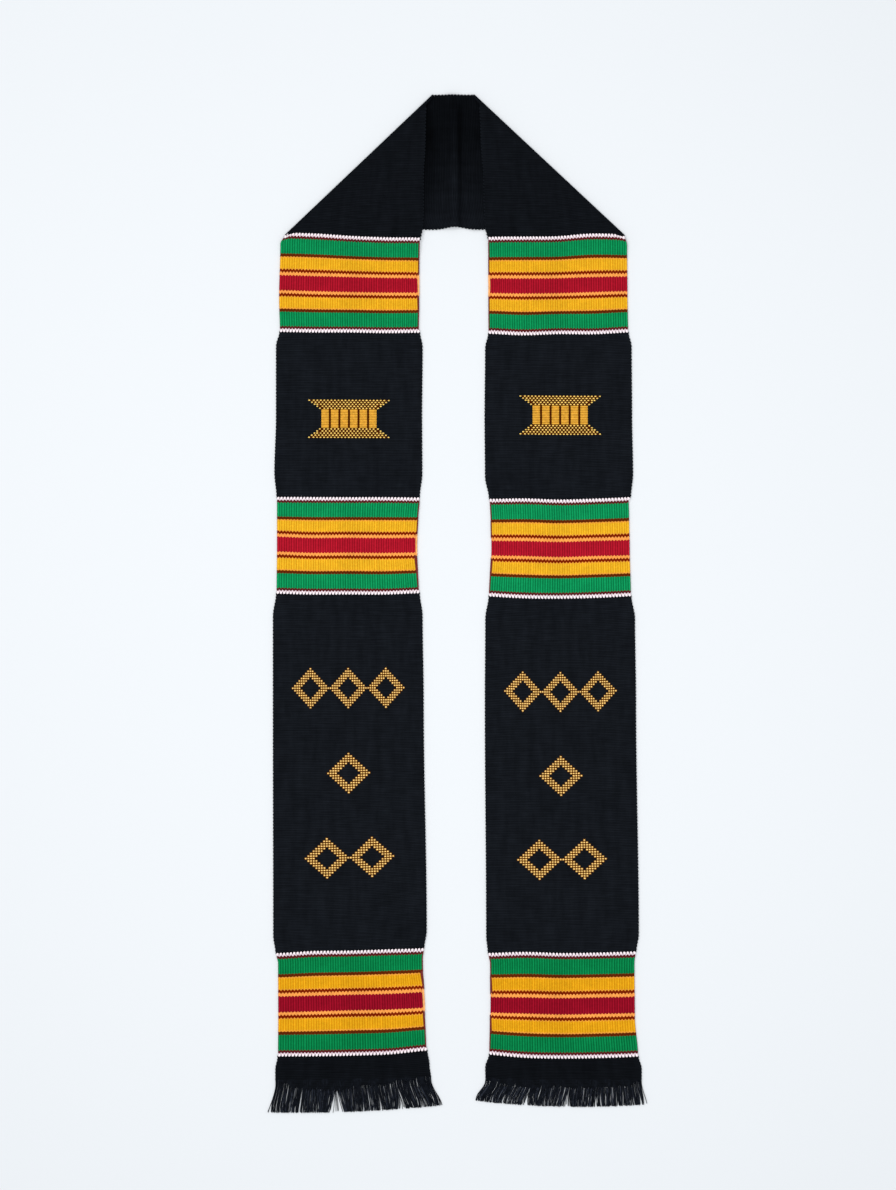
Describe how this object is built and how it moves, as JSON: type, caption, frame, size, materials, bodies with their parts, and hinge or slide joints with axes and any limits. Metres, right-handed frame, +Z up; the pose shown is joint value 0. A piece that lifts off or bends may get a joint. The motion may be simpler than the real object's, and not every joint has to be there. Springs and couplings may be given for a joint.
{
  "type": "graduation stole",
  "caption": "Long woven kente stole worn round the neck: one folded strip with ribbed coloured bands, black panels, raised gold motifs and fringed ends.",
  "frame": {"origin": "under the middle of the whole stole, on the surface that it lies on", "axes": "+X to the right across both legs as the picture shows them, +Y from the fringes up to the neck, +Z up from the surface"},
  "size_m": [0.3298, 0.8962, 0.0038],
  "materials": {
    "black_cloth": "matte plain weave",
    "white_rib": "ribbed weave, soft sheen",
    "green_rib": "ribbed weave, soft sheen",
    "yellow_rib": "ribbed weave, soft sheen",
    "red_rib": "ribbed weave, soft sheen",
    "gold_inlay": "raised supplementary weft"
  },
  "bodies": {
    "root": {"yoke": "black_cloth", "left_top_band_white_above": "white_rib", "left_top_band_green_above": "green_rib", "left_top_band_yellow_above": "yellow_rib", "left_top_band_red_core": "red_rib", "left_top_band_yellow_below": "yellow_rib", "left_top_band_green_below": "green_rib", "left_top_band_white_below": "white_rib", "left_upper_panel": "black_cloth", "left_spool_emblem": "gold_inlay", "left_middle_band_white_above": "white_rib", "left_middle_band_green_above": "green_rib", "left_middle_band_yellow_above": "yellow_rib", "left_middle_band_red_core": "red_rib", "left_middle_band_yellow_below": "yellow_rib", "left_middle_band_green_below": "green_rib", "left_middle_band_white_below": "white_rib", "left_lower_panel": "black_cloth", "left_motif_row_1": "gold_inlay", "left_motif_row_2": "gold_inlay", "left_motif_row_3": "gold_inlay", "left_bottom_band_white_above": "white_rib", "left_bottom_band_green_above": "green_rib", "left_bottom_band_yellow_above": "yellow_rib", "left_bottom_band_red_core": "red_rib", "left_bottom_band_yellow_below": "yellow_rib", "left_bottom_band_green_below": "green_rib", "left_bottom_band_white_below": "white_rib", "left_hem_fringe": "black_cloth", "right_top_band_white_above": "white_rib", "right_top_band_green_above": "green_rib", "right_top_band_yellow_above": "yellow_rib", "right_top_band_red_core": "red_rib", "right_top_band_yellow_below": "yellow_rib", "right_top_band_green_below": "green_rib", "right_top_band_white_below": "white_rib", "right_upper_panel": "black_cloth", "right_spool_emblem": "gold_inlay", "right_middle_band_white_above": "white_rib", "right_middle_band_green_above": "green_rib", "right_middle_band_yellow_above": "yellow_rib", "right_middle_band_red_core": "red_rib", "right_middle_band_yellow_below": "yellow_rib", "right_middle_band_green_below": "green_rib", "right_middle_band_white_below": "white_rib", "right_lower_panel": "black_cloth", "right_motif_row_1": "gold_inlay", "right_motif_row_2": "gold_inlay", "right_motif_row_3": "gold_inlay", "right_bottom_band_white_above": "white_rib", "right_bottom_band_green_above": "green_rib", "right_bottom_band_yellow_above": "yellow_rib", "right_bottom_band_red_core": "red_rib", "right_bottom_band_yellow_below": "yellow_rib", "right_bottom_band_green_below": "green_rib", "right_bottom_band_white_below": "white_rib", "right_hem_fringe": "black_cloth"}
  },
  "joints": []
}
